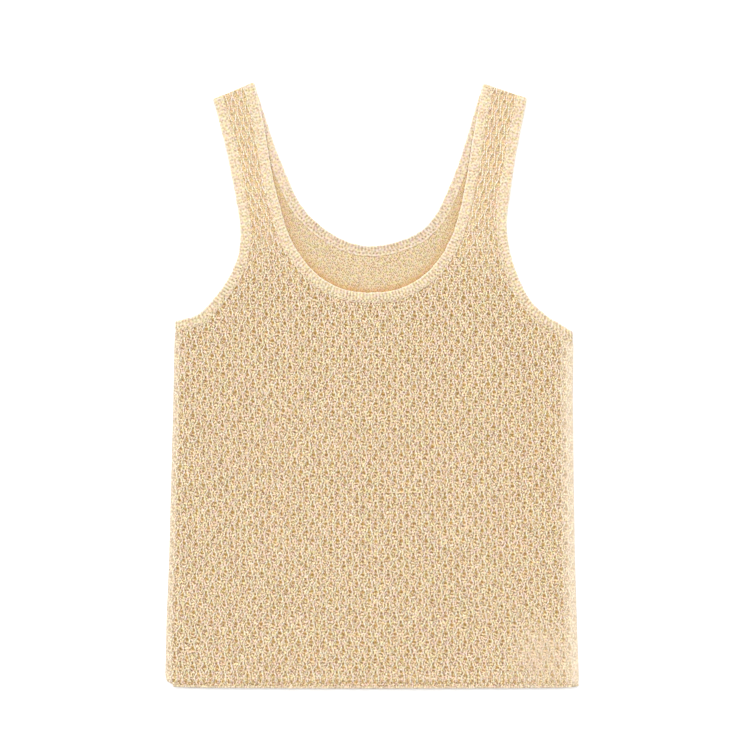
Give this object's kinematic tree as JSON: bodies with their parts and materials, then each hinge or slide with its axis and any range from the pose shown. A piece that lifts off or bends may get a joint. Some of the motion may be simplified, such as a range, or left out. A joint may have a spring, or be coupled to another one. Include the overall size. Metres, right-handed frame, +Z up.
{
  "type": "sweater vest",
  "caption": "Sleeveless knitted top laid flat: scoop neck, wide straps, honeycomb stitch body and narrow ribbed bands round neck and armholes.",
  "frame": {"origin": "middle of the garment's outline seen from above, on the surface that the back lies on", "axes": "+Z up out of the front, +Y from the hem to the straps, +X towards the wearer's left"},
  "size_m": [0.385, 0.5647, 0.0051],
  "materials": {
    "honeycomb_knit": "matt, softly napped",
    "smooth_knit": "matt, softly napped",
    "band_knit": "matt, softly napped"
  },
  "bodies": {
    "root": {"front_panel": "honeycomb_knit", "back_panel": "smooth_knit", "neck_band": "band_knit", "armhole_band_right": "band_knit", "armhole_band_left": "band_knit"}
  },
  "joints": []
}
